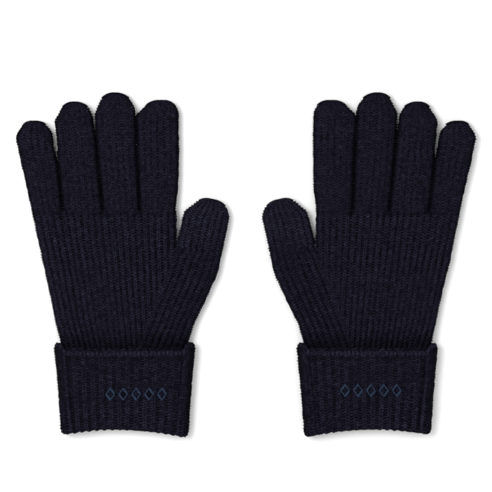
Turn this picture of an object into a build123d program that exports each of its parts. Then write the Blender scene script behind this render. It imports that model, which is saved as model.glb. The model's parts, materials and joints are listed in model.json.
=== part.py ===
"""A pair of rib-knitted gloves with turned-back cuffs, lying flat and empty, side by side.

Millimetres. X runs across the pair, +Y runs from the cuffs to the fingertips, +Z points up from the
surface the gloves lie on. The origin is the centre of the pair's footprint, on that surface.
Every size below describes the left glove, whose thumb points towards +X. The right glove mirrors it.
"""

import os
from dataclasses import dataclass
from math import cos, radians, sin, tan

from build123d import *

# ---- driving dimensions: the knitted fabric ----
wall = 2.2  # thickness of one layer of rib knit
hand_thickness = 12.0  # palm and thumb, both layers and the air between them
finger_thickness = 11.0
side_flat = 1.8  # straight height left at the middle of each rounded side
corner_allowance = 0.6  # a plan corner is this much rounder than the long edge that follows it

# ---- driving dimensions: the hand ----
glove_x = -85.0  # middle of the wrist and of the cuff
wrist_width = 85.0
palm_length = 93.0  # top of the cuff to the line where the fingers start
outer_lean = 12.3  # degrees the little-finger side leans away from the length
outer_bend_rise = 22.0  # height above the cuff where that side turns in to the wrist
outer_bend_radius = 40.0
knuckle_offset = 36.6  # wrist middle to the index side of the hand

# ---- driving dimensions: the thumb ----
crotch_drop = 21.3  # finger line down to the fork between thumb and index finger
thumb_lean = 12.0  # degrees the thumb leans away from the fingers
thumb_width = 32.5
thumb_length = 36.0  # fold line to tip
thumb_corner_in = 0.4  # the tip's corner stands this far inside the line straight up from the fork
fork_radius = 0.4  # plan radius of the fork between thumb and index finger
gusset_drop = 14.0  # along the thumb's outer side, fold line down to where it turns in
gusset_end_inset = 6.0  # the thumb side's last bend stands this far outside the wrist
gusset_end_rise = 16.0  # and this far above the cuff
gusset_radius = 30.0
gusset_end_radius = 25.0

# ---- driving dimensions: the fold lines and the gaps between pieces ----
finger_gap = 0.5
hinge_depth = 3.0  # a fold line lies this far under the upper face
hinge_clearance = 0.4
fold_room_extra = 1.0  # spare length in the upper face behind a fold line
thumb_cut_out = 0.1  # the thumb's inner end is cut this far outside the fork

# ---- driving dimensions: the cuff ----
cuff_height = 63.4
cuff_top_width = 98.7
cuff_bottom_width = 88.4
cuff_arch = 4.6  # rise of the bottom edge at its middle
cuff_skew = 2.4  # the bottom edge stands this much higher on the little-finger side
cuff_corner_radius = 6.0
band_edge_radius = 5.5
cuff_overlap = 4.0  # length of the hand tucked inside the turned-back band
band_clearance = 0.4
wrist_rise_length = 20.0  # run over which the underside climbs to clear the band
edge_height = 2.5
edge_proud = 0.4

# ---- driving dimensions: trim ----
seam_proud = 0.8
seam_height = 1.4
seam_set_back = 2.0  # a closing seam starts this far above the corner of its fingertip
seam_inner_share = 0.62  # and, on the other side, at this share of the crown's radius below the tip
motif_count = 5
motif_pitch = 9.0
motif_size = (6.0, 8.0)
motif_height = 0.6
motif_places = {"left": (8.4, 32.8), "right": (-2.1, 30.3)}  # from wrist middle, and below cuff top


@dataclass
class Tip:
    """The rounded end of a finger: a small corner on its outer side, then a slope up to the crown."""

    corner_drop: float
    shoulder: float
    outer_radius: float
    inner_radius: float


@dataclass
class Finger:
    root_width: float
    length: float
    inner_lean: float  # degrees, of the valley between this finger and the next one
    tip: Tip


fingers = {
    "little_finger": Finger(21.4, 65.0, 6.3, Tip(10.5, 6.0, 8.0, 12.0)),
    "ring_finger": Finger(28.0, 78.4, 5.5, Tip(12.5, 7.5, 9.0, 12.0)),
    "middle_finger": Finger(25.6, 84.8, 2.5, Tip(14.0, 6.0, 10.5, 13.5)),
    "index_finger": Finger(26.0, 79.5, -1.2, Tip(10.0, 11.0, 12.0, 10.0)),
}
thumb_tip = Tip(12.0, 10.0, 10.0, 12.0)

# ---- places worked out from the sizes ----
longest_finger = max(finger.length for finger in fingers.values())
cuff_bottom_y = -(cuff_height + palm_length + longest_finger) / 2
wrist_y = cuff_bottom_y + cuff_height
finger_y = wrist_y + palm_length
joint_y = wrist_y - cuff_overlap
index_side_x = glove_x + knuckle_offset
palm_width = sum(finger.root_width for finger in fingers.values())
little_side_x = index_side_x - palm_width
band_lift = wall + band_clearance
band_thickness = hand_thickness + band_clearance + wall
crotch_y = finger_y - crotch_drop
spare = 3 * wall  # length by which a hollow runs on past an open end
margin = 1.0  # how far a cutting shape stands past what it cuts


def edge_radius(thickness):
    """Radius of the rounded long edges of a flat tube of this thickness."""
    return (thickness - side_flat) / 2


def corner_radius(thickness):
    """Smallest plan radius that the rounded long edges can follow."""
    return edge_radius(thickness) + corner_allowance


def lean_to(x, degrees, rise):
    """X after climbing by rise along a line that leans towards the little finger."""
    return x - rise * tan(radians(degrees))


def thumb_point(across, along):
    """A point in the thumb's own directions, measured from the fork beside the index finger."""
    lean = radians(thumb_lean)
    return (
        index_side_x + across * cos(lean) + along * sin(lean),
        crotch_y - across * sin(lean) + along * cos(lean),
    )


def closed_outline(points, radii):
    """A flat face inside a closed outline with rounded corners."""
    with BuildSketch() as face:
        with BuildLine():
            FilletPolyline(*points, radius=radii, close=True)
        make_face()
    return face.sketch


def flat_tube(face, bottom, top, radius, square_ends):
    """A flat solid with rounded long edges, left square at the ends with these Y values."""
    with BuildPart() as solid:
        with BuildSketch(Plane.XY.offset(bottom)):
            add(face)
        extrude(amount=top - bottom)
        levels = solid.edges().group_by(Axis.Z)
        long_edges = (levels[0] + levels[-1]).filter_by(
            lambda edge: all(abs(edge.center().Y - y) > 0.1 for y in square_ends)
        )
        fillet(long_edges, radius=radius)
    return solid.part


def inset_face(face, amount):
    """The face with its outline moved inwards."""
    with BuildSketch() as smaller:
        add(face)
        offset(amount=-amount)
    return smaller.sketch


def write_part(part, name):
    """Label a finished piece and write its file."""
    part.label = name
    export_step(part, f"parts/{name}.step")


def write_pair(part, name):
    """Write a piece of the left glove, and its mirror image for the right glove."""
    write_part(part, f"left_{name}")
    with BuildPart() as twin:
        mirror(part, about=Plane.YZ)
    write_part(twin.part, f"right_{name}")


def closing_seam(outline, thickness, kept):
    """The raised bead that closes a fingertip, along the part of its outline inside kept."""
    with BuildPart() as seam:
        with BuildSketch(Plane.XY.offset((thickness - seam_height) / 2)):
            add(outline)
            offset(amount=seam_proud)
            add(outline, mode=Mode.SUBTRACT)
            add(kept, mode=Mode.INTERSECT)
        extrude(amount=seam_height)
    return seam.part


# ---- fingers: closed at the tip, open at the fold line where they join the hand ----
def finger_outline(left_x, finger, outer_lean_here, start_y):
    """Plan outline of a finger between the valleys on its two sides."""
    tip_y = finger_y + finger.length - seam_proud
    corner_y = tip_y - finger.tip.corner_drop
    right_x = left_x + finger.root_width - finger_gap / 2
    left_x = left_x + finger_gap / 2
    corner_x = lean_to(left_x, outer_lean_here, corner_y - finger_y)
    points = [
        (lean_to(left_x, outer_lean_here, start_y - finger_y), start_y),
        (corner_x, corner_y),
        (corner_x + finger.tip.shoulder, tip_y),
        (lean_to(right_x, finger.inner_lean, tip_y - finger_y), tip_y),
        (lean_to(right_x, finger.inner_lean, start_y - finger_y), start_y),
    ]
    radii = [0, corner_radius(finger_thickness), finger.tip.outer_radius, finger.tip.inner_radius, 0]
    return closed_outline(points, radii)


def build_fingers():
    """All four fingers and their closing seams, from the little finger to the index finger."""
    left_x = little_side_x
    lean = outer_lean
    rounding = edge_radius(finger_thickness)
    for name, finger in fingers.items():
        outline = finger_outline(left_x, finger, lean, finger_y)
        long_outline = finger_outline(left_x, finger, lean, finger_y - spare)
        hollow = flat_tube(
            inset_face(long_outline, wall),
            wall,
            finger_thickness - wall,
            rounding - wall,
            [finger_y - spare + wall],
        )
        with BuildPart() as tube:
            add(flat_tube(outline, 0, finger_thickness, rounding, [finger_y]))
            add(hollow, mode=Mode.SUBTRACT)
        write_pair(tube.part, name)

        tip_y = finger_y + finger.length
        outer_start = tip_y - finger.tip.corner_drop + seam_set_back
        inner_start = tip_y - finger.tip.inner_radius * seam_inner_share
        tip_left = lean_to(left_x, lean, finger.length)
        far_left = tip_left - finger.root_width
        far_right = tip_left + 2 * finger.root_width
        with BuildSketch() as tip_zone:
            with BuildLine():
                Polyline(
                    (far_left, outer_start),
                    (tip_left, outer_start),
                    (tip_left + finger.root_width, inner_start),
                    (far_right, inner_start),
                    (far_right, tip_y + wall),
                    (far_left, tip_y + wall),
                    close=True,
                )
            make_face()
        seam = closing_seam(outline, finger_thickness, tip_zone.sketch)
        write_pair(seam, f"{name}_closing_seam")

        left_x += finger.root_width
        lean = finger.inner_lean


# ---- hand and thumb: knitted as one outline, and parted at the thumb's fold line ----
def mitt_outline():
    """Plan outline of the palm with the thumb, run on past the finger line and down to the joint."""
    top_y = finger_y + spare
    bend_y = wrist_y + outer_bend_rise
    bend_x = lean_to(little_side_x, outer_lean, bend_y - finger_y)
    tip = thumb_tip
    crown = thumb_length - seam_proud
    corner = crown - tip.corner_drop
    points = [
        (glove_x - wrist_width / 2, joint_y),
        (bend_x, bend_y),
        (lean_to(little_side_x, outer_lean, top_y - finger_y), top_y),
        (index_side_x, top_y),
        (index_side_x, crotch_y),
        thumb_point(thumb_corner_in, corner),
        thumb_point(thumb_corner_in + tip.shoulder, crown),
        thumb_point(thumb_width, crown),
        thumb_point(thumb_width, -gusset_drop),
        (glove_x + wrist_width / 2 + gusset_end_inset, wrist_y + gusset_end_rise),
        (glove_x + wrist_width / 2, joint_y),
    ]
    small = corner_radius(hand_thickness)
    sides = [outer_bend_radius, 0, 0, fork_radius]
    crown_radii = [small, tip.outer_radius, tip.inner_radius]
    radii = [0, *sides, *crown_radii, gusset_radius, gusset_end_radius, 0]
    return closed_outline(points, radii)


def under_wrist(height):
    """The space under the wrist, below a floor that climbs from this height to clear the band."""
    profile = Plane.YZ.offset(glove_x - cuff_top_width)
    start_y = wrist_y + wrist_rise_length
    level_y = wrist_y + edge_height
    deep = -hand_thickness
    with BuildPart() as space:
        with BuildSketch(profile):
            with BuildLine():
                Polyline(
                    (start_y, height),
                    (level_y, height + band_lift),
                    (joint_y - spare, height + band_lift),
                    (joint_y - spare, deep),
                    (start_y, deep),
                    close=True,
                )
            make_face()
        extrude(amount=2 * cuff_top_width)
    return space.part


def thumb_zone(across, set_back):
    """Plan face over the thumb, from this place across it and from set_back behind its fold line."""
    reach = 2 * thumb_length + thumb_width
    with BuildSketch() as zone:
        with BuildLine():
            Polyline(
                thumb_point(across, -set_back),
                thumb_point(reach, -set_back),
                thumb_point(reach, reach),
                thumb_point(across, reach),
                close=True,
            )
        make_face()
    return zone.sketch


def fold_room(zone_upper, zone_lower, hinge_z):
    """The space a digit takes when it folds: its upper face swings back over the fold line."""
    with BuildPart() as room:
        with BuildSketch(Plane.XY.offset(hinge_z - hinge_clearance)):
            add(zone_upper)
        extrude(amount=hand_thickness)
        with BuildSketch(Plane.XY.offset(-margin)):
            add(zone_lower)
        extrude(amount=hand_thickness + 2 * margin)
    return room.part


def beyond_fingers(set_back):
    """Plan face over everything past the finger line, from set_back behind it."""
    with BuildSketch() as zone:
        with Locations((glove_x, finger_y - set_back)):
            Rectangle(3 * palm_width, 2 * palm_length, align=(Align.CENTER, Align.MIN))
    return zone.sketch


def build_hand_and_thumb():
    """The palm with its gusset, the thumb, and the thumb's closing seam."""
    outline = mitt_outline()
    rounding = edge_radius(hand_thickness)
    top_y = finger_y + spare
    shell = flat_tube(outline, 0, hand_thickness, rounding, [top_y, joint_y])
    hollow = flat_tube(
        inset_face(outline, wall),
        wall,
        hand_thickness - wall,
        rounding - wall,
        [top_y - wall, joint_y + wall],
    )
    with BuildPart() as wrist_hollow:
        with BuildSketch(Plane.XY.offset(wall)):
            with Locations((glove_x, joint_y - spare)):
                Rectangle(
                    wrist_width - 2 * rounding,
                    spare + 2 * wall,
                    align=(Align.CENTER, Align.MIN),
                )
        extrude(amount=hand_thickness - 2 * wall)
    with BuildPart() as cavity:
        add(hollow)
        add(wrist_hollow.part)
        add(under_wrist(wall), mode=Mode.SUBTRACT)
    with BuildPart() as mitt:
        add(shell)
        add(under_wrist(0), mode=Mode.SUBTRACT)
        add(cavity.part, mode=Mode.SUBTRACT)

    set_back = hinge_depth + hinge_clearance + fold_room_extra
    fork_side = -thumb_cut_out - hinge_clearance
    finger_room = fold_room(
        beyond_fingers(set_back), beyond_fingers(hinge_clearance), finger_thickness - hinge_depth
    )
    thumb_room = fold_room(
        thumb_zone(fork_side, set_back),
        thumb_zone(fork_side, hinge_clearance),
        hand_thickness - hinge_depth,
    )
    with BuildPart() as hand:
        add(mitt.part)
        add(finger_room, mode=Mode.SUBTRACT)
        add(thumb_room, mode=Mode.SUBTRACT)
    write_pair(hand.part, "hand")

    with BuildPart() as thumb_space:
        with BuildSketch(Plane.XY.offset(-margin)):
            add(thumb_zone(-thumb_cut_out, 0))
        extrude(amount=hand_thickness + 2 * margin)
    with BuildPart() as thumb:
        add(mitt.part)
        add(thumb_space.part, mode=Mode.INTERSECT)
    write_pair(thumb.part, "thumb")

    start = thumb_length - thumb_tip.corner_drop + seam_set_back
    inner_side = thumb_corner_in - 2 * seam_proud
    with BuildSketch() as tip_zone:
        with BuildLine():
            Polyline(
                thumb_point(inner_side, start),
                thumb_point(2 * thumb_width, start),
                thumb_point(2 * thumb_width, 2 * thumb_length),
                thumb_point(inner_side, 2 * thumb_length),
                close=True,
            )
        make_face()
    seam = closing_seam(outline, hand_thickness, tip_zone.sketch)
    write_pair(seam, "thumb_closing_seam")


# ---- cuff: an inner layer, and the band folded back over it ----
def cuff_outline(top_y, top_width, inset, bottom_drop, rounded):
    """Plan outline of a cuff layer, set in from the cuff's sides and bottom edge."""
    half = cuff_bottom_width / 2 - inset
    low = cuff_bottom_y + inset - bottom_drop
    left = (glove_x - half, low + cuff_skew)
    right = (glove_x + half, low)
    middle = (glove_x, low + cuff_skew / 2 + cuff_arch)
    with BuildSketch() as face:
        with BuildLine():
            ThreePointArc(left, middle, right)
            Polyline(
                right,
                (glove_x + top_width / 2, top_y),
                (glove_x - top_width / 2, top_y),
                left,
            )
        make_face()
        if rounded:
            bottom_corners = face.vertices().sort_by(Axis.Y)[:2]
            fillet(bottom_corners, radius=rounded)
    return face.sketch


def build_cuff():
    """The inner layer, the turned-back band and the band's bound-off edge."""
    inner_inset = wall + band_clearance
    inner_rounding = edge_radius(hand_thickness - band_lift)
    inner_face = cuff_outline(joint_y, wrist_width, inner_inset, 0, corner_radius(hand_thickness - band_lift))
    mouth_low_y = cuff_bottom_y - 2 * spare
    mouth_high_y = joint_y + spare
    mouth_side = inner_inset + wall
    mouth_half_width = cuff_bottom_width / 2 - mouth_side
    with BuildSketch() as mouth_face:
        with BuildLine():
            Polyline(
                (glove_x - mouth_half_width, mouth_low_y),
                (glove_x + mouth_half_width, mouth_low_y),
                (glove_x + wrist_width / 2 - wall, mouth_high_y),
                (glove_x - wrist_width / 2 + wall, mouth_high_y),
                close=True,
            )
        make_face()
    mouth = flat_tube(
        mouth_face.sketch,
        band_lift + wall,
        hand_thickness - wall,
        inner_rounding - wall,
        [mouth_low_y, mouth_high_y],
    )
    with BuildPart() as cuff_inner:
        add(flat_tube(inner_face, band_lift, hand_thickness, inner_rounding, [joint_y]))
        add(mouth, mode=Mode.SUBTRACT)
    write_pair(cuff_inner.part, "cuff_inner")

    band_top_y = wrist_y - edge_height
    band_face = cuff_outline(band_top_y, cuff_top_width, 0, 0, cuff_corner_radius)
    void_rise = band_top_y + spare
    void_face = cuff_outline(void_rise, cuff_top_width - 2 * wall, wall, 0, cuff_corner_radius - wall)
    band_rounding = band_edge_radius
    band_void = flat_tube(
        void_face, wall, band_thickness - wall, band_rounding - wall, [void_rise]
    )
    with BuildPart() as cuff_band:
        add(flat_tube(band_face, 0, band_thickness, band_rounding, [band_top_y]))
        add(band_void, mode=Mode.SUBTRACT)
        add(mouth, mode=Mode.SUBTRACT)
    write_pair(cuff_band.part, "cuff_band")

    outer_height = band_thickness + edge_proud
    top_plane = Plane.XZ.offset(-wrist_y)
    with BuildPart() as cuff_edge:
        with BuildSketch(top_plane):
            with Locations((glove_x, outer_height / 2)):
                RectangleRounded(cuff_top_width + 2 * edge_proud, outer_height, band_rounding)
            with Locations((glove_x, band_thickness / 2)):
                RectangleRounded(
                    cuff_top_width - 2 * wall,
                    band_thickness - 2 * wall,
                    band_rounding - wall,
                    mode=Mode.SUBTRACT,
                )
        extrude(amount=edge_height)
    write_pair(cuff_edge.part, "cuff_edge")


def build_motif(side):
    """A plain row of small stitched diamonds on the front of the band."""
    across, below = motif_places[side]
    middle_x = glove_x + across
    if side == "right":
        middle_x = -middle_x
    width, height = motif_size
    with BuildPart() as motif:
        with BuildSketch(Plane.XY.offset(band_thickness)):
            with Locations((middle_x, wrist_y - below)):
                with GridLocations(motif_pitch, 0, motif_count, 1):
                    Polygon((-width / 2, 0), (0, -height / 2), (width / 2, 0), (0, height / 2))
        extrude(amount=motif_height)
    write_part(motif.part, f"{side}_embroidered_motif")


os.makedirs("parts", exist_ok=True)
build_fingers()
build_hand_and_thumb()
build_cuff()
build_motif("left")
build_motif("right")
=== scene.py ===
"""A pair of rib-knitted gloves with turned-back cuffs: the looks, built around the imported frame.

Lengths are millimetres until a mesh is made, and metres from there on. Each glove is built as the left
one, and the right one is mirrored, with its own unevenness.
"""

import json
import math

import bpy
import numpy as np
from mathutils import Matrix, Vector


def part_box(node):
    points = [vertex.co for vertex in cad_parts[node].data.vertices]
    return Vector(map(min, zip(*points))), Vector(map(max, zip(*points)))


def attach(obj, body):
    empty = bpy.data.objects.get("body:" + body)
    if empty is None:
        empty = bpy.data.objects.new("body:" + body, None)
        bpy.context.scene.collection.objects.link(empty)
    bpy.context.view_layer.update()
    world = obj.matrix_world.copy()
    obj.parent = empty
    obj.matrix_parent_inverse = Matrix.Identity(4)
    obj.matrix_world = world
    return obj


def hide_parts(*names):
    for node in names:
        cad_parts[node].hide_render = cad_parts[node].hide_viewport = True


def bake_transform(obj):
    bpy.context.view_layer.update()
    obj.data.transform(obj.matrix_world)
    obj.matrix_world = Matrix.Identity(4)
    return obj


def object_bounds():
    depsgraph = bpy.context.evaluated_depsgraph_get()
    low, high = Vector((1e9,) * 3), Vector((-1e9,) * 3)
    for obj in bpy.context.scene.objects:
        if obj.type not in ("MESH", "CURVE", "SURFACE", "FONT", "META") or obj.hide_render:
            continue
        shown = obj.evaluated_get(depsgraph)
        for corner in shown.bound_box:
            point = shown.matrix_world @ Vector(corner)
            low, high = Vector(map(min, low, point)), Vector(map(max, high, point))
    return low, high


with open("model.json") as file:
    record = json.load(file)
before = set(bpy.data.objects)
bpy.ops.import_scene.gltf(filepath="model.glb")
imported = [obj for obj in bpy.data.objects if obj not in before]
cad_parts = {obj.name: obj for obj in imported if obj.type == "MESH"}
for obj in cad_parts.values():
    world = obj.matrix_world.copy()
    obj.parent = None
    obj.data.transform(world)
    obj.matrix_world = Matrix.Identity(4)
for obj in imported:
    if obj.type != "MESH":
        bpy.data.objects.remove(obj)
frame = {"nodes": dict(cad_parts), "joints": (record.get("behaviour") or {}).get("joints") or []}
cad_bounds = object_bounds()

MM = 0.001
FINGERS = ("little_finger", "ring_finger", "middle_finger", "index_finger")

# ---- the knit ----
COURSE = 1.9  # height of one row of stitches
STEP = 0.4  # spacing of mesh rows along a rib
COLUMNS_PER_RIB = 12
PALM_RIBS = 22  # across one face
THUMB_RIBS = 8
BAND_RIBS = 17
INNER_CUFF_RIBS = 18
FINGER_RIBS = {"little_finger": 6, "ring_finger": 7, "middle_finger": 7, "index_finger": 7}
STITCH_SWELL = 0.6  # the smooth shapes are drawn in by this much, and the stitches fill it
FINGER_SWELL = 0.1  # the same for the fingers, whose knit touches

# ---- heights of the soft tubes above the floor ----
HAND_TOP = 10.9
HAND_BOTTOM = 0.9
FINGER_TOP = 10.4
FINGER_BOTTOM = 0.9
WRIST_TOP = 9.9
WRIST_BOTTOM = 3.8
BAND_TOP = 13.6
BAND_BOTTOM = 0.9
FABRIC = 2.2  # one layer of knit
FLOOR_GAP = 0.03  # no stitch reaches lower than this
JUST_INSIDE = 0.3  # a CAD outline is read this far inside its end
TIP_GAP = 0.03  # the last ring of a digit lies this far short of its CAD tip

# ---- the hand and the thumb ----
TOP_ROUNDING = 9.0  # the upper face of the hand rounds off over this width
BOTTOM_ROUNDING = 6.0  # and the underside of the hand and fingers over this one
TUCK = 1.0  # the hand's knit runs on inside the cuff by this much
WRIST_RUN = 20  # over this length the hand flattens into the cuff
WRIST_LIFT = 1.2  # its middle climbs by this much there
PALM_OVERLAP = 2.6  # the palm's knit ends this far past the finger line, inside the fingers
FOLD_ROOM = 5.0  # the CAD hand's sides are whole up to this far below the finger line
PALM_SIDE_INSET = 0.6  # the palm's straight side stands this far inside the index finger's
GUSSET_START = 9.0  # the gusset's slant starts this far from the cuff's middle
GUSSET_DIP = 1.3  # the palm dives this far under the gusset
GUSSET_OVERLAP = 2.2  # the gusset's knit starts this far inside the palm
WEB_DEPTH = 3.0  # dent where two fingers part
WEB_WIDTH = 2.6
WEB_RISE = 0.8  # its place past the finger line
THUMB_CROWN = 12.5  # rounded length of the tip
SEAM_LEVEL = 5.9  # height of the closing seam above the floor

# ---- the fingers ----
FINGER_OVERLAP = 4.0  # a finger's knit starts this far inside the hand
FINGER_CROWN = 13.0
FINGER_SEAM_LEVEL = 5.6
VALLEY_RUN = 12  # the gap between two fingertips opens over this length
# for each valley, from the outside of the hand inwards: how far apart the two fingertips stand, and how
# far up the fingers that starts
VALLEY_GAPS = ((0, 0), (2.0, 36.0), (1.3, 54.0), (0, 0), (0, 0))

# ---- the cuff ----
RIM_DIP = 2.9  # the band's front edge hangs this far below the top of its sides
RIM_EARS = 5.2  # and the sides stand this far above it
BAND_ROUNDING = 6.5  # the band's two faces round off to its sides over this width
SIDE_FOLD = 8.2  # the band's front is creased this far from each side
EDGE_ROLL = (1.45, 1.9)  # half thickness and half height of the bound-off edge
EDGE_CHAINS = 72  # stitches round that edge

# ---- the motif's stitches ----
STITCH_RINGS = 6  # mesh rings along each stitch
STITCH_SIDES = 6  # and points round each ring


# ======================================================================================
# reading the frame
# ======================================================================================
def cad_edges(node):
    """End points of every edge of a CAD node's mesh, in millimetres."""
    mesh = frame["nodes"][node].data
    points = np.array([v.co for v in mesh.vertices]) / MM
    return points[np.array([e.vertices[:] for e in mesh.edges])]


def span(edges, level, across=(1, 0), along=(0, 1)):
    """Least and greatest place across, where the edges pass this level along."""
    low = edges[:, 0, :2] @ np.array(along)
    high = edges[:, 1, :2] @ np.array(along)
    crossing = ((low - level) * (high - level) <= 0) & (np.abs(high - low) > 1e-6)
    share = (level - low[crossing]) / (high - low)[crossing]
    ends = edges[crossing][:, :, :2] @ np.array(across)
    places = ends[:, 0] + share * (ends[:, 1] - ends[:, 0])
    return places.min(), places.max()


def joint(name):
    """The frame's joint with this name."""
    return next(j for j in frame["joints"] if j["name"] == name)


def box_mm(node):
    """Lowest and highest corners of a CAD node's box, in millimetres."""
    low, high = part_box(node)
    return np.array(low) / MM, np.array(high) / MM


finger_line = joint("left_middle_finger_fold")["pos_m"][1] / MM
thumb_across = np.array(joint("left_thumb_fold")["axis"][:2])
thumb_along = np.array([-thumb_across[1], thumb_across[0]])
thumb_pivot = np.array(joint("left_thumb_fold")["pos_m"][:2]) / MM
thumb_level = thumb_pivot @ thumb_along
hand_edges = cad_edges("left_hand")
thumb_edges = cad_edges("left_thumb")
band_edges = cad_edges("left_cuff_band")
hand_low_y = box_mm("left_hand")[0][1]
band_low, band_high = box_mm("left_cuff_band")
band_height = band_high[1] - band_low[1]
band_half_width = 0.5 * (band_high[0] - band_low[0])
index_side = span(hand_edges, finger_line - FOLD_ROOM)[1]
fork_y = (thumb_level - index_side * thumb_along[0]) / thumb_along[1]
wrist_line = box_mm("left_cuff_edge")[1][1]
cuff_middle = (band_low[0] + band_high[0]) / 2


# ======================================================================================
# small tools for curves, noise and meshes
# ======================================================================================
def smoothstep(value):
    """0 up to 0, 1 from 1 on, and a smooth rise between them."""
    value = np.clip(value, 0, 1)
    return value * value * (3 - 2 * value)


def noise(u, v, seed):
    """Smooth noise from -1 to 1, about one bump for each unit of u and v."""
    cells = 64
    table = np.random.default_rng(seed).uniform(-1, 1, (cells, cells))
    column = np.floor(u).astype(int)
    row = np.floor(v).astype(int)
    across = smoothstep(u - column)
    along = smoothstep(v - row)
    left, right = column % cells, (column + 1) % cells
    low, high = row % cells, (row + 1) % cells
    near = table[left, low] * (1 - across) + table[right, low] * across
    far = table[left, high] * (1 - across) + table[right, high] * across
    return near * (1 - along) + far * along


def bump_at(distance, width):
    """1 at no distance, falling smoothly to almost nothing at twice this width."""
    return np.exp(-((distance / width) ** 2))


def crowded(count):
    """Shares from 0 to 1, closer together towards both ends."""
    return 0.5 - 0.5 * np.cos(np.linspace(0, math.pi, count))


def wave(turns):
    """A wave from 0 to 1, with one crest for each whole turn."""
    return 0.5 + 0.5 * np.cos(2 * math.pi * turns)


def resample(curve, count):
    """The same curve with count + 1 points, evenly spaced along it."""
    steps = np.linalg.norm(np.diff(curve, axis=0), axis=1)
    length = np.concatenate([[0], np.cumsum(steps)])
    wanted = np.linspace(0, length[-1], count + 1)
    return np.stack([np.interp(wanted, length, curve[:, k]) for k in range(curve.shape[1])], axis=1)


def distance_to(points, line):
    """Distance in plan from each point to the nearest part of a line of points."""
    start = line[:-1]
    run = np.diff(line, axis=0)
    squared = np.maximum((run ** 2).sum(1), 1e-9)
    offset = points[:, None, :] - start[None]
    share = np.clip((offset * run[None]).sum(2) / squared[None], 0, 1)
    gap = offset - share[:, :, None] * run[None]
    return np.sqrt((gap ** 2).sum(2)).min(1)


def rounded(distance, radius):
    """0 at an edge, rising as a quarter circle to 1 at this distance from it."""
    inside = 1 - np.clip(distance / radius, 0, 1)
    return np.sqrt(np.clip(1 - inside ** 2, 0, 1))


def tube_rows(starts, ends, even, upper, lower, count):
    """Rings of points round a flat tube: over the top from start to end, then back underneath.

    Points are spaced evenly over the shape that even gives, so that ribs stay straight where upper and
    lower have dips in them.
    """
    spread = crowded(121)
    rings = []
    for start, end in zip(starts, ends):
        plan = start + spread[:, None] * (end - start)
        across = resample(np.column_stack([plan, even(plan)]), count)[:, :2]
        over = np.column_stack([across, upper(across)])
        under = np.column_stack([across, lower(across)])[::-1]
        rings.append(np.vstack([over, under[1:]]))
    return np.array(rings)


def grid_normals(grid, closed):
    """Outward unit normals of a grid of points, rows by columns."""
    if closed:
        across = np.roll(grid, -1, axis=1) - np.roll(grid, 1, axis=1)
    else:
        across = np.gradient(grid, axis=1)
    along = np.gradient(grid, axis=0)
    normal = np.cross(across, along)
    return normal / np.maximum(np.linalg.norm(normal, axis=2, keepdims=True), 1e-9)


def smooth_rows(values, times, closed):
    """Averages a grid of vectors with its neighbours, to take the sharp turns out of normals."""
    for _ in range(times):
        padded = np.pad(values, ((1, 1), (0, 0), (0, 0)), mode="edge")
        values = (padded[:-2] + 2 * values + padded[2:]) / 4
        if closed:
            values = (np.roll(values, 1, axis=1) + 2 * values + np.roll(values, -1, axis=1)) / 4
    return values / np.maximum(np.linalg.norm(values, axis=2, keepdims=True), 1e-9)


def make_mesh(name, points, faces, side, material, relief, tone):
    """A smooth-shaded object from points in millimetres. The right glove's pieces are mirrored."""
    points = points * MM
    sizes = np.array([len(face) for face in faces])
    corners = np.array([vertex for face in faces for vertex in face])
    starts = np.concatenate([[0], np.cumsum(sizes)[:-1]])
    if side == "right":
        points = points * np.array([-1, 1, 1])
        first = starts.repeat(sizes)
        last = first + sizes.repeat(sizes) - 1
        corners = corners[first + last - np.arange(len(corners))]
    mesh = bpy.data.meshes.new(name)
    mesh.vertices.add(len(points))
    mesh.vertices.foreach_set("co", points.ravel())
    mesh.loops.add(len(corners))
    mesh.loops.foreach_set("vertex_index", corners.astype(np.int32))
    mesh.polygons.add(len(sizes))
    mesh.polygons.foreach_set("loop_start", starts.astype(np.int32))
    mesh.update(calc_edges=True)
    mesh.validate()
    mesh.polygons.foreach_set("use_smooth", np.ones(len(mesh.polygons), dtype=bool))
    for attribute, values in (("relief", relief), ("tone", tone)):
        layer = mesh.attributes.new(attribute, "FLOAT", "POINT")
        layer.data.foreach_set("value", np.broadcast_to(values, len(points)).astype(np.float32))
    mesh.materials.append(material)
    piece = bpy.data.objects.new(name, mesh)
    bpy.context.scene.collection.objects.link(piece)
    return piece


def grid_faces(rows, columns, closed):
    """Quads of a grid, going outwards by the right-hand rule."""
    last = columns if closed else columns - 1
    i, j = np.meshgrid(np.arange(last), np.arange(rows - 1))
    i, j = i.ravel(), j.ravel()
    following = (i + 1) % columns
    quads = np.stack(
        [j * columns + i, j * columns + following, (j + 1) * columns + following, (j + 1) * columns + i],
        axis=1,
    )
    return quads.tolist()


def zip_faces(rows, columns):
    """Faces that close a flattened last ring, top against bottom."""
    base = (rows - 1) * columns
    half = columns // 2
    faces = []
    for i in range(half):
        corners = [i, i + 1, columns - i - 1, columns - i]
        face = []
        for corner in corners:
            vertex = base + corner % columns
            if vertex not in face:
                face.append(vertex)
        faces.append(face)
    return faces


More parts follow.
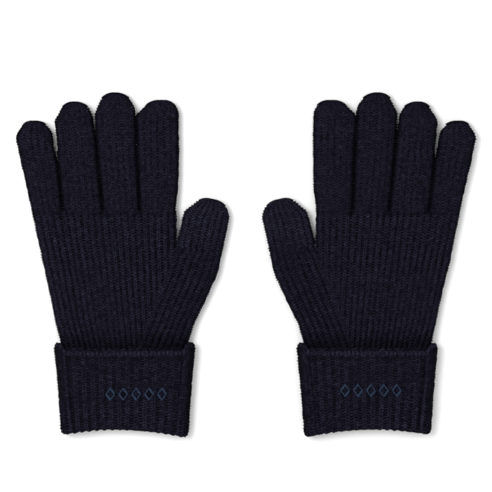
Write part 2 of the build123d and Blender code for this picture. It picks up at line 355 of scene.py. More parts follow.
# ======================================================================================
# the knit's relief
# ======================================================================================
def rib_relief(ribs, courses, depth, stitch, purl_height, seed):
    """One-by-one rib: raised wales of V stitches, with sunken wales of bumps between them.

    Ribs and courses count stitches across and along. Gives the height of the surface in millimetres, how
    far out of the hollows it stands from 0 to 1, which the material paints as shade in the hollows and
    light on the crowns, and how light the yarn is there. The numbers are shares of a stitch, or of the
    greatest height or lightness.
    """
    ribs = ribs + 0.06 * noise(ribs * 0.6, courses * 0.16, seed)
    courses = courses + 0.3 * noise(ribs * 0.35, courses * 0.22, seed + 1)
    half_wale = 0.25
    knit_side = np.abs((ribs + 0.5) % 1.0 - 0.5) / half_wale
    purl_side = np.abs(ribs % 1.0 - 0.5) / half_wale
    knit = smoothstep((1.2 - knit_side) / 0.4)
    purl = smoothstep((1.2 - purl_side) / 0.4)
    crown = smoothstep(0.5 + 0.62 * np.cos(2 * math.pi * ribs))
    legs = wave(courses - 0.55 * knit_side)
    groove = bump_at(knit_side, 0.22)
    bumps = wave(courses + 0.3 + 0.15 * purl_side ** 2)
    wale = np.floor(ribs * 2 + 0.5)
    row = np.floor(courses)
    size = 1 + 0.45 * noise(wale * 3 + 0.5, row * 5 + 0.5, seed + 2)
    loops = size * (knit * (legs - 0.55 * groove) + purl * purl_height * bumps)
    coarse_fuzz = noise(ribs * 5.3, courses * 2.3, seed + 3)
    fine_fuzz = noise(ribs * 9.1, courses * 4.1, seed + 4)
    fuzz = 0.5 * coarse_fuzz + 0.5 * fine_fuzz
    plain = 0.55 + 0.45 * noise(ribs * 0.23, courses * 0.11, seed + 8)
    height = depth * crown * (1 - 0.5 * plain) + stitch * loops + 0.16 * fuzz
    # painted light and shade: high on the stitches and rib crowns, low in the hollows between them
    shade = 0.5 * loops + 0.3 * (1 - 0.6 * plain) * crown + 0.2 + 0.08 * plain
    own = 1 + 0.42 * noise(wale * 7 + 0.5, row * 3 + 0.5, seed + 6)
    specks = np.maximum(0, noise(ribs * 4.7 + 9, courses * 2.1, seed + 7) - 0.4)
    tone = own * (1 + 0.75 * fuzz) + 1.8 * specks
    return height, np.clip(shade, 0, 1), tone


def knit_grid(rings, ribs, seed, closed=True, depth=0.75, stitch=0.55, purl_height=0.75, fade=1.0,
              side_shade=0.6):
    """The points of a knitted piece, with each point's relief and tone, from its smooth rings.

    Depth, stitch and purl_height are the heights of the ribs, stitches and bumps, and fade is the share of
    them that is left at each point. The sides of the piece get painted shade, keeping only side_shade of
    their lightness, and its rows of stitches ripple them.
    """
    columns = rings.shape[1]
    per_face = columns // 2 if closed else (columns - 1) // 2
    travel = np.linalg.norm(np.diff(rings, axis=0), axis=2).mean(1)
    along = np.concatenate([[0], np.cumsum(travel)]) / COURSE
    rib_at, course_at = np.meshgrid(ribs * np.arange(columns) / per_face, along)
    height, relief, tone = rib_relief(rib_at, course_at, depth, stitch, purl_height, seed)
    slow = 0.4 * noise(rib_at * 0.21, course_at * 0.09, seed + 5)
    normals = smooth_rows(grid_normals(rings, closed), 2, closed)
    sideways = 1 - smoothstep(np.abs(normals[:, :, 2]) / 0.9)
    uneven = 0.3 * noise(rib_at * 0.05, course_at * 0.8, seed + 9)
    ripple = sideways * (0.3 * np.cos(2 * math.pi * course_at) + uneven)
    points = rings + normals * (height * fade + slow + ripple)[:, :, None]
    relief = 0.45 + (relief - 0.45) * fade
    # painted shade on the sides of the piece, where they turn away from the top
    tone = tone * (side_shade + (1 - side_shade) * smoothstep(np.abs(normals[:, :, 2]) / 0.8))
    points[:, :, 2] = np.maximum(points[:, :, 2], FLOOR_GAP)
    return points, relief, tone


def grid_piece(name, grid, side, material, closed=True, zipped=False):
    """An object from a grid of points with their relief and tone."""
    points, relief, tone = grid
    rows, columns = points.shape[:2]
    faces = grid_faces(rows, columns, closed)
    if zipped:
        faces = faces + zip_faces(rows, columns)
    return make_mesh(name, points.reshape(-1, 3), faces, side, material, relief.ravel(), tone.ravel())


# ======================================================================================
# materials
# ======================================================================================
def scaled(colour, share):
    """The colour times this share."""
    return tuple(part * share for part in colour)


def yarn_material(name, colour, shine=0.012, flecks=1.0):
    """Soft spun yarn: painted shade between the stitches and painted light on their crowns, uneven from
    stitch to stitch, and finely flecked.
    """
    # painted shade: the colour down in the hollows between the stitches
    hollow = scaled(colour, 0.03)
    # painted light: the colour on the crowns of the stitches
    crown = scaled((colour[0], colour[1] * 1.03, colour[2]), 2.3)
    fibre_scale = 1500
    material = bpy.data.materials.new(name)
    material.use_nodes = True
    nodes = material.node_tree.nodes
    links = material.node_tree.links
    shader = nodes["Principled BSDF"]
    place = nodes.new("ShaderNodeTexCoord")

    fibres = nodes.new("ShaderNodeTexNoise")
    fibres.inputs["Scale"].default_value = fibre_scale
    fibres.inputs["Detail"].default_value = 5
    fibres.inputs["Roughness"].default_value = 0.7
    links.new(place.outputs["Object"], fibres.inputs["Vector"])

    relief = nodes.new("ShaderNodeAttribute")
    relief.attribute_name = "relief"
    tone = nodes.new("ShaderNodeAttribute")
    tone.attribute_name = "tone"

    def ramp(source, low, high):
        """A colour ramp between two stops, each a position and a colour."""
        node = nodes.new("ShaderNodeValToRGB")
        for element, (position, stop_colour) in zip(node.color_ramp.elements, (low, high)):
            element.position = position
            element.color = (*stop_colour, 1)
        links.new(source.outputs["Fac"], node.inputs["Fac"])
        return node

    white = (1, 1, 1)
    # painted light and shade from the hollows to the crowns, read from the relief attribute
    painted_light_and_shade_ramp = ramp(relief, (0.22, hollow), (0.95, crown))
    fleck_ramp = ramp(fibres, (0.38, scaled(white, 1 - flecks / 2)), (0.66, scaled(white, 1 + flecks / 2)))

    toned = nodes.new("ShaderNodeVectorMath")
    toned.operation = "SCALE"
    links.new(painted_light_and_shade_ramp.outputs["Color"], toned.inputs[0])
    links.new(tone.outputs["Fac"], toned.inputs["Scale"])
    flecked = nodes.new("ShaderNodeVectorMath")
    flecked.operation = "MULTIPLY"
    links.new(toned.outputs["Vector"], flecked.inputs[0])
    links.new(fleck_ramp.outputs["Color"], flecked.inputs[1])
    links.new(flecked.outputs["Vector"], shader.inputs["Base Color"])

    bump = nodes.new("ShaderNodeBump")
    bump.inputs["Strength"].default_value = 0.6
    bump.inputs["Distance"].default_value = 0.0005
    links.new(fibres.outputs["Fac"], bump.inputs["Height"])
    links.new(bump.outputs["Normal"], shader.inputs["Normal"])

    shader.inputs["Roughness"].default_value = 0.95
    shader.inputs["Specular IOR Level"].default_value = shine
    shader.inputs["Sheen Weight"].default_value = shine / 4
    shader.inputs["Sheen Roughness"].default_value = 0.5
    shader.inputs["Sheen Tint"].default_value = (0.35, 0.37, 0.6, 1)
    return material


# ======================================================================================
# the hand: a tube from the wrist to the finger line, with the gusset and thumb laid into it
# ======================================================================================
def gusset_line(y):
    """X of the line where the palm's ribs give way to the thumb gusset's."""
    low_x = cuff_middle + GUSSET_START
    share = (y - wrist_line) / (fork_y - wrist_line)
    return low_x + share * (index_side - low_x)


def near_wrist(y):
    """0 over the hand, rising to 1 where the hand goes into the cuff."""
    return smoothstep((wrist_line + WRIST_RUN - y) / WRIST_RUN)


def hand_middle(y):
    """Height of the hand's widest level."""
    return (HAND_TOP + HAND_BOTTOM) / 2 + WRIST_LIFT * near_wrist(y)


def hand_upper(distance, y):
    """Height of the upper face, at this distance from the hand's side."""
    middle = hand_middle(y)
    top = HAND_TOP + (WRIST_TOP - HAND_TOP) * near_wrist(y)
    return middle + (top - middle) * rounded(distance, TOP_ROUNDING)


def hand_lower(distance, y):
    """Height of the underside, at this distance from the hand's side."""
    middle = hand_middle(y)
    bottom = HAND_BOTTOM + (WRIST_BOTTOM - HAND_BOTTOM) * near_wrist(y)
    return middle - (middle - bottom) * rounded(distance, BOTTOM_ROUNDING)


def finger_webs():
    """X of the three places where neighbouring fingers part."""
    sides = {name: span(cad_edges(f"left_{name}"), finger_line + JUST_INSIDE) for name in FINGERS}
    return [(sides[a][1] + sides[b][0]) / 2 for a, b in zip(FINGERS, FINGERS[1:])]


def painted_shade_bands(y):
    """Painted shade in rows: across the finger line, where the fingers part from the hand, and at the
    wrist.
    """
    web = 0.25 * bump_at(y - finger_line - JUST_INSIDE, 1.8)
    shadow_run = 15
    wrist = 0.5 * smoothstep((wrist_line + shadow_run - y) / shadow_run)
    return 1 - web - wrist


def palm_rings():
    """Rings of the palm and of the back of the hand, from the cuff to just past the finger line."""
    low_y = hand_low_y - TUCK
    high_y = finger_line + PALM_OVERLAP
    levels = np.linspace(low_y, high_y, int((high_y - low_y) / STEP))
    within = np.clip(levels, hand_low_y + 0.1, finger_line - FOLD_ROOM)
    left = np.array([[span(hand_edges, y)[0] + STITCH_SWELL, y] for y in within])
    near_top, lower = left[-20], left[-60]
    slope = (near_top[0] - lower[0]) / (near_top[1] - lower[1])
    left[:, 0] += slope * (levels - within)
    left[:, 1] = levels
    side_x = index_side - STITCH_SWELL - PALM_SIDE_INSET
    right = np.column_stack([np.full(len(levels), side_x), levels])
    past_top, past_bottom = finger_line + 12, low_y - 5
    above_fork = np.array([[side_x, past_top], [side_x, fork_y]])
    whole_side = np.array([[side_x, past_top], [side_x, past_bottom]])
    webs = finger_webs()
    middle = (HAND_TOP + HAND_BOTTOM) / 2

    def even(plan):
        distance = np.minimum(distance_to(plan, left), distance_to(plan, whole_side))
        return hand_upper(distance, plan[:, 1])

    def shape(plan, height, side):
        """One face, with side 1 above and -1 below: it dives under the gusset and into the fingers."""
        y = plan[:, 1]
        distance = np.minimum(distance_to(plan, left), distance_to(plan, above_fork))
        z = height(distance, y)
        below_fork = smoothstep((fork_y - y) / 2.0)
        edge = rounded(np.maximum(side_x - plan[:, 0], 0), 3.0)
        z = z + below_fork * (middle + (z - middle) * edge - z)
        hidden = smoothstep((plan[:, 0] - gusset_line(y)) / 4.0) * below_fork
        z = z - side * GUSSET_DIP * hidden
        for web in webs:
            pit = np.hypot(plan[:, 0] - web, plan[:, 1] - finger_line - WEB_RISE)
            z = z - side * WEB_DEPTH * bump_at(pit, WEB_WIDTH)
        return z - side * 1.7 * smoothstep((y - finger_line + 2.4) / 5.0)

    return tube_rows(
        left,
        right,
        even,
        lambda plan: shape(plan, hand_upper, 1),
        lambda plan: shape(plan, hand_lower, -1),
        PALM_RIBS * COLUMNS_PER_RIB,
    )[:, :-1]


def thumb_place(across, along):
    """Plan points from places along the thumb's own directions."""
    return np.outer(across, thumb_across) + np.outer(along, thumb_along)


def crown_levels(start, crown_start, tip):
    """Levels from start to the tip, closer together over the crown."""
    straight = np.linspace(start, crown_start, int((crown_start - start) / STEP), endpoint=False)
    reach = tip - crown_start
    turn = np.linspace(0, math.pi / 2, int(math.pi / 2 * reach / STEP))
    return np.concatenate([straight, crown_start + reach * np.sin(turn)])


def drawn_in(spans, swell):
    """Left and right sides set in for the stitches, but never past each other at a tip."""
    inset = np.minimum(swell, (spans[:, 1] - spans[:, 0]) * 0.4)
    return np.column_stack([spans[:, 0] + inset, spans[:, 1] - inset])


def thumb_rings():
    """Rings of the gusset and the thumb, from the cuff along its slant to the tip of the thumb."""
    tip = (thumb_edges[:, :, :2] @ thumb_along).max() - TIP_GAP
    levels = crown_levels(thumb_level + JUST_INSIDE, tip - THUMB_CROWN, tip)
    sides = np.array([span(thumb_edges, level, thumb_across, thumb_along) for level in levels])
    spans = drawn_in(sides, STITCH_SWELL)
    inner = thumb_place(spans[:, 0], levels)
    outer = thumb_place(spans[:, 1], levels)

    fold_end_y = outer[0, 1]
    low_y = hand_low_y - TUCK
    heights = np.arange(hand_low_y + 0.1, fold_end_y - 1.0, STEP)
    side = np.array([[span(hand_edges, y)[1] - STITCH_SWELL, y] for y in heights])
    below = side[0] + np.array([[-0.3, low_y - side[0, 1]]])
    outer_low = resample(np.vstack([below, side, outer[:1]]), int((fold_end_y - low_y) / STEP))[:-1]
    share = np.linspace(0, 1, len(outer_low), endpoint=False)
    ys = low_y + share * (inner[0, 1] - low_y)
    inner_low = np.column_stack([gusset_line(ys), ys])
    turn_run = 9.0
    turn = smoothstep((ys - inner[0, 1] + turn_run) / turn_run)
    inner_low[:, 0] += (inner[0, 0] - gusset_line(inner[0, 1])) * turn
    inner_low[:, 0] -= GUSSET_OVERLAP * smoothstep((fork_y - ys) / turn_run)
    starts = np.vstack([inner_low, inner])
    ends = np.vstack([outer_low, outer])
    outline = np.vstack([side, outer, inner[::-1]])

    def shape(plan, height, side_sign):
        """One face, with side_sign 1 above and -1 below: it dives under the palm beside the gusset."""
        distance = distance_to(plan, outline)
        z = height(distance, plan[:, 1])
        beside = plan[:, 0] - gusset_line(plan[:, 1])
        inside = 1 - smoothstep((beside + GUSSET_OVERLAP) / 4.0)
        under_palm = inside * smoothstep((fork_y - plan[:, 1]) / 4.0)
        return z - side_sign * 1.4 * under_palm

    return tube_rows(
        starts,
        ends,
        lambda plan: hand_upper(distance_to(plan, outline), plan[:, 1]),
        lambda plan: shape(plan, hand_upper, 1),
        lambda plan: shape(plan, hand_lower, -1),
        THUMB_RIBS * COLUMNS_PER_RIB,
    )


# ======================================================================================
# the fingers
# ======================================================================================
def valley_room(valley, levels):
    """How far a finger's side stands back from the middle of this valley, at each level."""
    gap, start = VALLEY_GAPS[valley]
    return gap / 2 * smoothstep((levels - finger_line - start) / VALLEY_RUN)


def index_outer_shift(levels):
    """The index finger's thumb side stands in at its root and its tip, and out between them."""
    rise = levels - finger_line
    return -0.9 + 1.6 * smoothstep(rise / 22) - 0.9 * smoothstep((rise - 40) / 30)


def finger_rings(name):
    """Rings of a finger, from inside the hand to the tip."""
    edges = cad_edges(f"left_{name}")
    tip = edges[:, :, 1].max() - TIP_GAP
    levels = crown_levels(finger_line - FINGER_OVERLAP, tip - FINGER_CROWN, tip)
    inside = np.maximum(levels, finger_line + JUST_INSIDE)
    spans = np.array([span(edges, level) for level in inside])
    above = len(levels) // 3
    slopes = (spans[above] - spans[above // 2]) / (inside[above] - inside[above // 2])
    spans = drawn_in(spans + (levels - inside)[:, None] * slopes[None], FINGER_SWELL)
    number = FINGERS.index(name)
    spans[:, 0] += valley_room(number, levels)
    spans[:, 1] -= valley_room(number + 1, levels)
    if name == "index_finger":
        spans[:, 1] += index_outer_shift(levels)
    starts = np.column_stack([spans[:, 0], levels])
    ends = np.column_stack([spans[:, 1], levels])
    outline = np.vstack([starts, ends[::-1]])
    middle = (FINGER_TOP + FINGER_BOTTOM) / 2
    width = spans[above, 1] - spans[above, 0]

    def upper(plan):
        return middle + (FINGER_TOP - middle) * rounded(distance_to(plan, outline), width * 0.47)

    def lower(plan):
        return middle - (middle - FINGER_BOTTOM) * rounded(distance_to(plan, outline), BOTTOM_ROUNDING)

    return tube_rows(starts, ends, upper, upper, lower, FINGER_RIBS[name] * COLUMNS_PER_RIB)[:, :-1]


# ======================================================================================
# the cuff
# ======================================================================================
def band_sides(share):
    """Left and right sides of the band, from its top (0) to its bottom edge (1)."""
    below_top, above_corners = 0.2, 9.0
    top = span(band_edges, band_high[1] - below_top)
    low = span(band_edges, band_low[1] + above_corners)
    rise = (band_height - above_corners - below_top) / band_height
    rim_corner = max(0.0, 1 - share * band_height / 4.0)
    inset = 0.2 + 1.1 * rim_corner ** 2
    return [top[k] + (low[k] - top[k]) * share / rise + side * inset for k, side in ((0, 1), (1, -1))]


def edge_low_at(x):
    """Lowest Y of the band's outline at this X."""
    return span(band_edges, x, across=(0, 1), along=(1, 0))[0]


def bottom_curve():
    """Middle level, slope and bend of the band's lower edge, by share of its half width."""
    reach = 34.0
    share = reach / band_half_width
    left, middle, right = [edge_low_at(cuff_middle + x) for x in (-reach, 0, reach)]
    return middle, (right - left) / (2 * share), ((right + left) / 2 - middle) / share ** 2


bottom_middle, bottom_slope, bottom_bend = bottom_curve()


def bottom_edge_y(x):
    """The band's lower edge: arched, lower on the thumb side, and rounded off at its corners."""
    place = (x - cuff_middle) / band_half_width
    corner = np.clip((np.abs(place) - 0.82) / 0.09, 0, 1)
    rounding = 2.6 * (1 - np.sqrt(1 - corner ** 2))
    return bottom_middle + bottom_slope * place + bottom_bend * place ** 2 + rounding


def rim_y(x):
    """The band's top edge: lower across the front, with its two sides standing up."""
    place = np.abs(x - cuff_middle) / band_half_width
    return wrist_line - RIM_DIP + RIM_EARS * smoothstep((place - 0.81) / 0.11)


def section(left, right, inset, top, bottom, count, groove):
    """One ring of a flat rounded section, as X and Z, set in by inset, with a fold line near each side."""
    spread = crowded(161)
    x = left + inset + spread * (right - left - 2 * inset)
    near = np.minimum(x - left - inset, right - inset - x)
    middle = (top + bottom) / 2
    radius = max(BAND_ROUNDING - inset, 1.8)
    dent = groove * bump_at(near - SIDE_FOLD, 1.1) + 0.3 * groove * smoothstep((5.5 - near) / 3)
    over = middle + (top - inset - middle) * rounded(near, radius) - dent
    under = middle - (middle - bottom - inset) * rounded(near, radius)
    upper = resample(np.column_stack([x, over]), count)
    lower = resample(np.column_stack([x, under])[::-1], count)
    return np.vstack([upper, lower[1:-1]])


def cuff_path(inside_run, fold_radius, return_run, face_rows):
    """Stations along the band: share of the outer face, inset, and shift in Y past its ends.

    They start inside the top edge, turn over it, run down the outer face and fold back in at the mouth.
    """
    under_roll = 1.2
    stations = [(0.0, FABRIC, -run) for run in np.linspace(inside_run, under_roll, 24)]
    half = FABRIC / 2
    for turn in np.linspace(0, math.pi, 7)[1:-1]:
        stations.append((0.0, half + half * math.cos(turn), half * math.sin(turn) - under_roll))
    stations += [(share, 0.0, -under_roll * (1 - share) ** 8) for share in np.linspace(0, 1, face_rows)]
    for turn in np.linspace(0, math.pi, 13)[1:]:
        inset = fold_radius * (1 - math.cos(turn))
        stations.append((1.0, inset, fold_radius * (1 - math.sin(turn)) - fold_radius))
    stations += [(1.0, 2 * fold_radius, run) for run in np.linspace(0, return_run, 14)[1:]]
    return stations


def cuff_layer(stations, sides, top, bottom, count, groove, top_line, low_line):
    """Rings of a cuff layer, listed the way round that puts its outer face outwards."""
    rings = []
    for share, inset, shift in stations:
        left, right = sides(share)
        ring = section(left, right, inset, top, bottom, count, groove if inset == 0 else groove / 3)
        high_y = top_line(ring[:, 0])
        y = high_y + share * (low_line(ring[:, 0]) - high_y) + shift
        rings.append(np.column_stack([ring[:, 0], y, ring[:, 1]])[::-1])
    return np.array(rings)


def band_rings():
    """Rings of the turned-back band, and how deep its ribs are on each: deeper near the mouth."""
    fold_radius = FABRIC
    groove = 1.5
    stations = cuff_path(16, fold_radius, 9, int(band_height / STEP))
    rings = cuff_layer(
        stations, band_sides, BAND_TOP, BAND_BOTTOM, BAND_RIBS * COLUMNS_PER_RIB, groove,
        rim_y, lambda x: bottom_edge_y(x) + fold_radius,
    )
    on_face = np.array([inset == 0 for _, inset, _ in stations])
    shares = np.array([share for share, _, _ in stations])
    fade = np.where(on_face, 0.55 + 0.3 * smoothstep((shares - 0.5) / 0.4), 0.8)
    return rings, fade[:, None]


def band_painted_light_and_shade(rings):
    """Painted light and shade: a painted highlight along the fold's raised line near each side, painted
    shade in its groove and along the sides, and painted shade under the bound-off edge.
    """
    x = rings[:, :, 0]
    near = np.minimum(x - x.min(axis=1, keepdims=True), x.max(axis=1, keepdims=True) - x)
    below = rim_y(x) - rings[:, :, 1]
    # painted highlight along each side fold; painted shade in its groove, along the band's sides and under
    # the bound-off edge
    ridge = 0.35 * bump_at(near - 6.3, 0.9)
    groove = 0.45 * bump_at(near - SIDE_FOLD, 0.8)
    side = 0.4 * smoothstep((5.0 - near) / 3)
    under_edge = 0.3 * bump_at(below - 5.0, 1.0)
    return (1 + ridge - groove - side) * (1 - under_edge)


def inner_cuff_rings():
    """Rings of the layer inside the band: down its outside, round its lower edge and up its inside."""
    columns_per_rib = 9
    side_gap = 4.0
    mouth_gap = 4.4
    lift = 0.2
    top_y = hand_low_y + 3.0
    top_span = span(hand_edges, hand_low_y + 1.0)
    low_span = [side + shift for side, shift in zip(band_sides(1.0), (side_gap, -side_gap))]
    rows = int((top_y - band_low[1]) / (STEP * 1.3))
    stations = [(share, 0.0, 0.0) for share in np.linspace(0, 1, rows)]
    half = FABRIC / 2
    for turn in np.linspace(0, math.pi, 7)[1:]:
        stations.append((1.0, half * (1 - math.cos(turn)), -half * math.sin(turn)))
    stations += [(1.0 - share, FABRIC, 0.0) for share in np.linspace(0, 1, rows)[1:]]

    def sides(share):
        return [top_span[k] + (low_span[k] - top_span[k]) * share for k in (0, 1)]

    return cuff_layer(
        stations, sides, WRIST_TOP + lift, WRIST_BOTTOM - lift, INNER_CUFF_RIBS * columns_per_rib, 0.0,
        lambda x: np.full(len(x), top_y), lambda x: bottom_edge_y(x) + mouth_gap,
    )


def rim_ring(inset, lift, count):
    """A closed line round the band's top edge, set in and lifted."""
    left, right = band_sides(0.0)
    ring = section(left, right, inset, BAND_TOP, BAND_BOTTOM, count, 0.6)
    return np.column_stack([ring[:, 0], rim_y(ring[:, 0]) + lift, ring[:, 1]])


def cuff_edge_grid(seed):
    """The bound-off edge: a roll of chain stitches round the top of the band."""
    around = 20
    count = 300
    half_thickness, half_height = EDGE_ROLL
    rows = []
    for turn in np.linspace(0, 2 * math.pi, around, endpoint=False):
        inset = FABRIC / 2 - half_thickness * math.cos(turn)
        rows.append(rim_ring(inset, -half_height + half_height * math.sin(turn), count))
    rows = np.array(rows)
    columns = rows.shape[1]
    normals = grid_normals(np.vstack([rows[-1:], rows, rows[:1]]), True)[1:-1]
    turn_at, place = np.meshgrid(np.arange(around) / around, np.arange(columns) / columns, indexing="ij")
    stitches = wave(place * EDGE_CHAINS + 1.2 * np.abs(turn_at - 0.5))
    fuzz = noise(place * 500, turn_at * 9, seed)
    points = rows + normals * (0.5 * stitches + 0.12 * fuzz - 0.1)[:, :, None]
    points[:, :, 2] = np.maximum(points[:, :, 2], FLOOR_GAP)
    own = 1 + 0.25 * noise(np.floor(place * EDGE_CHAINS) * 3 + 0.5, np.full(place.shape, 0.5), seed + 1)
    # painted light on the chain stitches and painted shade between them, through the material's relief
    # ramp
    grid = points, 0.45 + 0.35 * stitches, own * (1 + 0.7 * fuzz)
    return [np.concatenate([part, part[:1]]) for part in grid]


# ======================================================================================
# trim: closing seams and the stitched motif
# ======================================================================================
def yarn_tube(line, radius, around=8):
    """Rings of a thin tube along a line of points; radius may vary along it."""
    line = np.asarray(line)
    radius = np.broadcast_to(radius, (len(line),))
    heading = np.gradient(line, axis=0)
    heading /= np.maximum(np.linalg.norm(heading, axis=1, keepdims=True), 1e-9)
    side_way = np.cross(heading, [0.02, 0.01, 1.0])
    side_way /= np.linalg.norm(side_way, axis=1, keepdims=True)
    up_way = np.cross(side_way, heading)
    turns = np.linspace(0, 2 * math.pi, around, endpoint=False)
    ring = (
        side_way[:, None] * np.cos(turns)[None, :, None] + up_way[:, None] * np.sin(turns)[None, :, None]
    )
    return line[:, None] + ring * radius[:, None, None]


def joined_tubes(tubes):
    """Points and faces of several closed-ended tubes in one mesh."""
    points = []
    faces = []
    base = 0
    for rings in tubes:
        rows, columns = rings.shape[:2]
        points.append(rings.reshape(-1, 3))
        faces += [[base + v for v in face[::-1]] for face in grid_faces(rows, columns, True)]
        faces.append([base + v for v in range(columns)])
        faces.append([base + (rows - 1) * columns + v for v in range(columns)][::-1])
        base += rows * columns
    return np.vstack(points), faces


def closing_seam(rings, start_share, middle, stitches):
    """Two strands of yarn twisted round each other over a fingertip, along its side outline.

    They start at this share of the digit's rings, and lie at this level.
    """
    half = rings.shape[1] // 2
    first = int(len(rings) * start_share)
    edge = np.vstack([rings[first:, 0], rings[-1, : half + 1], rings[first:, half][::-1]])
    edge[:, 2] = middle
    steps_per_stitch = 8
    strand_radius = 0.6
    proud = 0.55
    swing = 0.75
    edge = resample(edge, stitches * steps_per_stitch)
    heading = np.gradient(edge, axis=0)
    outward = np.cross([0, 0, 1.0], heading)
    outward /= np.maximum(np.linalg.norm(outward, axis=1, keepdims=True), 1e-9)
    phase = np.linspace(0, stitches * 2 * math.pi, len(edge))
    tubes = []
    for strand in (0, math.pi):
        line = edge + outward * proud
        line[:, 2] += swing * np.cos(phase / 2 + strand)
        tubes.append(yarn_tube(line, strand_radius + 0.14 * np.cos(phase)))
    return joined_tubes(tubes)


def motif_tubes(side):
    """A row of diamonds, each outlined in short satin stitches that slope across its sides."""
    low, high = box_mm(f"{side}_embroidered_motif")
    if side == "right":
        low[0], high[0] = -high[0], -low[0]
    diamonds = 5
    width_by_pitch = 2 / 3
    stitches_per_side = 9
    stitch_slope = np.array([0.28, 0.6])
    stitch_arch = 0.4
    thread_radius = 0.24
    pitch = (high[0] - low[0]) / (diamonds - 1 + width_by_pitch)
    half_width = (high[0] - low[0] - (diamonds - 1) * pitch) / 2
    half_height = (high[1] - low[1]) / 2
    centre_y = (low[1] + high[1]) / 2
    surface = BAND_TOP + 0.75
    tubes = []
    for number in range(diamonds):
        centre_x = low[0] + half_width + number * pitch
        corners = [(-1, 0), (0, 1), (1, 0), (0, -1), (-1, 0)]
        for first, second in zip(corners, corners[1:]):
            start = np.array([centre_x + first[0] * half_width, centre_y + first[1] * half_height])
            end = np.array([centre_x + second[0] * half_width, centre_y + second[1] * half_height])
            for share in np.linspace(0.06, 0.94, stitches_per_side):
                place = start + share * (end - start)
                steps = np.linspace(-1, 1, STITCH_RINGS)[:, None]
                plan = place + steps * stitch_slope
                height = surface + stitch_arch * (1 - steps[:, 0] ** 2)
                tubes.append(yarn_tube(np.column_stack([plan, height]), thread_radius, STITCH_SIDES))
    return tubes


# ======================================================================================
# building both gloves
# ======================================================================================
NAVY = (0.0072, 0.0066, 0.0125)
THREAD_BLUE = (0.010, 0.018, 0.037)
hand_knit = yarn_material("hand_knit", NAVY)
# painted shade: the fingers' knit is the same navy yarn, made darker
shaded_finger_knit = yarn_material("shaded_finger_knit", scaled(NAVY, 0.75))
# painted light: the thumb's knit is the same navy yarn, made lighter
lit_thumb_knit = yarn_material("lit_thumb_knit", scaled(NAVY, 1.14))
cuff_knit = yarn_material("cuff_knit", NAVY)
# painted light: the bound-off edge roll is the same navy yarn, made lighter where it catches the light
lit_edge_knit = yarn_material("cuff_edge_knit", scaled(NAVY, 1.12))
# painted shade: the closing seams are the same navy yarn, made darker, as on the digits' shaded sides
seam_yarn = yarn_material("seam_yarn", scaled(NAVY, 0.7))
thread = yarn_material("embroidery_thread", THREAD_BLUE, shine=0.2, flecks=0.5)


def place_piece(piece, body, slot, *nodes):
    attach(piece, body)
    if nodes:
        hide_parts(*nodes)


def fold_piece(piece, side, digit):
    """Hide a digit's CAD part, and bake the knit's transform into its mesh."""
    centre = np.array(joint(f"{side}_{digit}_fold")["pos_m"])
    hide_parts(f"{side}_{digit}")
    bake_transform(piece)


def build_palm(side, seed):
    """The two faces of the hand, as two pieces."""
    rings = palm_rings()
    points, relief, tone = knit_grid(rings, PALM_RIBS, seed, fade=1 + 0.35 * near_wrist(rings[:, :, 1]))
    # painted shade along the finger line and at the wrist
    tone = tone * painted_shade_bands(points[:, :, 1])
    half = PALM_RIBS * COLUMNS_PER_RIB
    front = [part[:, : half + 1] for part in (points, relief, tone)]
    back = [np.concatenate([part[:, half:], part[:, :1]], axis=1) for part in (points, relief, tone)]
    piece = grid_piece(f"{side}_palm_front_knit", front, side, hand_knit, closed=False)
    place_piece(piece, f"{side}_hand", "hand_knit", f"{side}_hand")
    piece = grid_piece(f"{side}_palm_back_knit", back, side, hand_knit, closed=False)
    place_piece(piece, f"{side}_hand", "hand_knit")


def add_seam(side, digit, rings, start_share, middle, stitches):
    """The closing seam of a digit, riding on it."""
    points, faces = closing_seam(rings, start_share, middle, stitches)
    seam = make_mesh(f"{side}_{digit}_closing_seam_yarn", points, faces, side, seam_yarn, 0.5, 1.0)
    place_piece(seam, f"{side}_{digit}", "seam_yarn", f"{side}_{digit}_closing_seam")


def build_thumb(side, seed):
    """The gusset and thumb, with the closing seam."""
    rings = thumb_rings()
    points, relief, tone = knit_grid(rings, THUMB_RIBS, seed, closed=False, depth=0.6)
    # painted shade on the gusset, lightening up the thumb, and painted shade at the wrist
    up_thumb = smoothstep((points[:, :, 1] - fork_y + 8) / 18)
    below_webs = np.minimum(points[:, :, 1], finger_line - 6)
    tone = tone * painted_shade_bands(below_webs) * (0.78 + 0.27 * up_thumb)
    piece = grid_piece(f"{side}_lit_thumb_knit", (points, relief, tone), side, lit_thumb_knit, closed=False)
    fold_piece(piece, side, "thumb")
    add_seam(side, "thumb", rings, 0.93, SEAM_LEVEL, 22)


def build_finger(side, name, seed):
    """A finger, darker along its sides as painted shade, with its closing seam."""
    rings = finger_rings(name)
    points, relief, tone = knit_grid(
        rings, FINGER_RIBS[name], seed, depth=0.28, stitch=0.5, purl_height=0.9, side_shade=0.3
    )
    half = FINGER_RIBS[name] * COLUMNS_PER_RIB
    x = rings[:, :, 0]
    near_side = np.minimum(x - x[:, :1], x[:, half, None] - x)
    # painted shade along both sides of the finger, deepest at its edges, and at the finger line
    tone = tone * painted_shade_bands(points[:, :, 1]) * (1 - 0.6 * bump_at(near_side, 1.7))
    grid = (points, 0.2 + 0.8 * relief, tone)
    piece = grid_piece(f"{side}_{name}_knit", grid, side, shaded_finger_knit, zipped=True)
    fold_piece(piece, side, name)
    add_seam(side, name, rings, 0.9, FINGER_SEAM_LEVEL, 20)


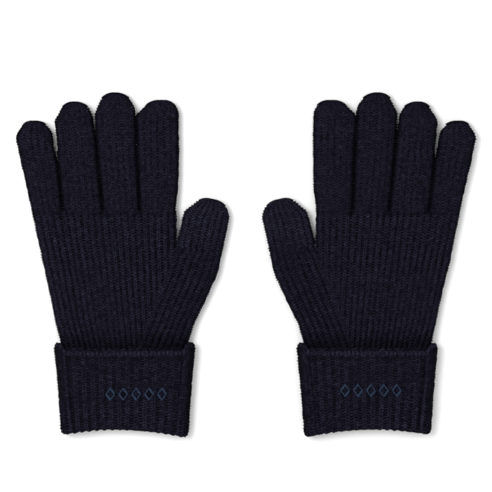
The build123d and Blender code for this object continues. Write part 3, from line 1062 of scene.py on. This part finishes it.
def build_cuff(side, seed):
    """The band, the layer inside it, its bound-off edge and the stitched motif."""
    rings, fade = band_rings()
    points, relief, tone = knit_grid(rings, BAND_RIBS, seed, fade=fade)
    # painted light and shade along the band's side folds, its sides and under its top edge
    tone = tone * band_painted_light_and_shade(rings)
    band = grid_piece(f"{side}_cuff_band_knit", (points, relief, tone), side, cuff_knit)
    place_piece(band, f"{side}_cuff", "cuff_knit", f"{side}_cuff_band")

    grid = knit_grid(inner_cuff_rings(), INNER_CUFF_RIBS, seed + 20, depth=0.6)
    inner = grid_piece(f"{side}_cuff_inner_knit", grid, side, cuff_knit)
    place_piece(inner, f"{side}_hand", "cuff_knit", f"{side}_cuff_inner")

    roll = grid_piece(f"{side}_cuff_edge_knit", cuff_edge_grid(seed + 30), side, lit_edge_knit)
    place_piece(roll, f"{side}_cuff", "cuff_edge_knit", f"{side}_cuff_edge")

    points, faces = joined_tubes(motif_tubes(side))
    per_stitch = STITCH_RINGS * STITCH_SIDES
    shades = np.random.default_rng(seed).uniform(-1, 1, len(points) // per_stitch).repeat(per_stitch)
    motif = make_mesh(f"{side}_motif_thread", points, faces, side, thread, 0.75, 1 + 0.3 * shades)
    place_piece(motif, f"{side}_cuff", "embroidery_thread", f"{side}_embroidered_motif")


for side, seed in (("left", 100), ("right", 500)):
    build_palm(side, seed)
    build_thumb(side, seed + 40)
    for number, name in enumerate(FINGERS):
        build_finger(side, name, seed + 60 + 20 * number)
    build_cuff(side, seed + 200)


# ======================================================================================
# floor, light and camera
# ======================================================================================
def build_floor():
    """A wide white floor."""
    half = 3.0
    mesh = bpy.data.meshes.new("floor")
    corners = [(-half, -half, 0), (half, -half, 0), (half, half, 0), (-half, half, 0)]
    mesh.from_pydata(corners, [], [(0, 1, 2, 3)])
    floor = bpy.data.objects.new("floor", mesh)
    material = bpy.data.materials.new("white_floor")
    material.use_nodes = True
    shader = material.node_tree.nodes["Principled BSDF"]
    shader.inputs["Base Color"].default_value = (0.9, 0.9, 0.9, 1)
    shader.inputs["Roughness"].default_value = 0.9
    shader.inputs["Specular IOR Level"].default_value = 0.1
    mesh.materials.append(material)
    bpy.context.scene.collection.objects.link(floor)


def add_area_light(name, place, target, size, power):
    """A round soft light that faces its target."""
    light = bpy.data.lights.new(name, "AREA")
    light.shape = "DISK"
    light.size = size
    light.energy = power
    lamp = bpy.data.objects.new(name, light)
    lamp.location = place
    away = np.array(place) - np.array(target)
    flat = math.hypot(away[0], away[1])
    lamp.rotation_euler = (math.atan2(flat, away[2]), 0, math.atan2(away[1], away[0]) + math.pi / 2)
    bpy.context.scene.collection.objects.link(lamp)


def build_studio():
    """Even white light from all round, and a large soft lamp up and to the left."""
    world = bpy.data.worlds.new("studio")
    world.use_nodes = True
    background = world.node_tree.nodes["Background"]
    background.inputs["Color"].default_value = (1, 1, 1, 1)
    background.inputs["Strength"].default_value = 0.95
    bpy.context.scene.world = world
    add_area_light("key", place=(-0.70, 0.28, 1.4), target=(0, 0, 0), size=0.8, power=15)
    bpy.context.scene.view_settings.view_transform = "Standard"
    bpy.context.scene.view_settings.look = "None"


def build_camera():
    """Straight above the pair, a little nearer the fingertips than its middle."""
    low, high = np.array(cad_bounds)
    centre = (low + high) / 2
    data = bpy.data.cameras.new("camera")
    data.lens = 200
    data.sensor_width = 36
    margin = 0.072
    rise = 0.0525
    width = (high[0] - low[0]) * (1 + margin)
    distance = width * data.lens / data.sensor_width
    camera = bpy.data.objects.new("camera", data)
    camera.location = (centre[0], centre[1] + rise * (high[1] - low[1]), distance + high[2] / 2)
    bpy.context.scene.collection.objects.link(camera)
    bpy.context.scene.camera = camera


build_floor()
build_studio()
build_camera()
